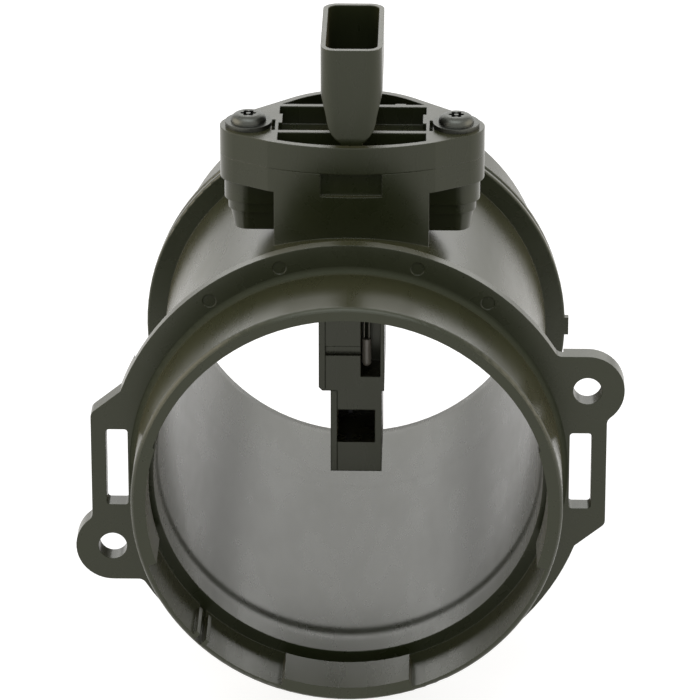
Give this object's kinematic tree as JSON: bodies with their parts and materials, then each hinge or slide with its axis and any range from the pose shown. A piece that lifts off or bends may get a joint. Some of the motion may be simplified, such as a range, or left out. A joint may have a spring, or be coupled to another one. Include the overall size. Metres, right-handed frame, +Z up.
{
  "type": "mass airflow sensor",
  "caption": "Mass airflow sensor: a black moulded flow tube with a slotted mounting flange, and a screwed-in plug sensor whose probe hangs in the air stream.",
  "frame": {"origin": "centre of the duct, in the front face of the mounting flange", "axes": "+Y along the duct, the way the air flows, away from the collar; +Z up through the plug-in sensor to its connector; +X to the right seen from the collar's end"},
  "size_m": [0.1308, 0.1445, 0.1521],
  "materials": {
    "duct_plastic": "matt black glass-filled nylon, slightly grey where light grazes it",
    "sensor_plastic": "matt black glass-filled plastic",
    "seal_rubber": "matt black rubber",
    "coated_steel": "black coated steel, half gloss",
    "contact_brass": "tinned brass",
    "plate_aluminium": "plain sheet",
    "board_laminate": "green laminate",
    "chip_resin": "black moulded resin",
    "capacitor_body": "tan ceramic",
    "sensor_silicon": "dark polished silicon",
    "bead_resin": "dark dipped resin",
    "lead_wire": "tinned wire"
  },
  "bodies": {
    "root": {"flow_tube": "duct_plastic", "sensor_body": "sensor_plastic", "electronics_cover": "sensor_plastic", "bypass_cover": "sensor_plastic", "seal_ring": "seal_rubber", "screw_left": "coated_steel", "screw_right": "coated_steel", "contact_pin_1": "contact_brass", "contact_pin_2": "contact_brass", "contact_pin_3": "contact_brass", "contact_pin_4": "contact_brass", "contact_pin_5": "contact_brass", "base_plate": "plate_aluminium", "circuit_board": "board_laminate", "signal_chip": "chip_resin", "capacitor_1": "capacitor_body", "capacitor_2": "capacitor_body", "capacitor_3": "capacitor_body", "chip_carrier": "board_laminate", "sensor_chip": "sensor_silicon", "temperature_bead": "bead_resin", "temperature_lead_left": "lead_wire", "temperature_lead_right": "lead_wire"}
  },
  "joints": []
}
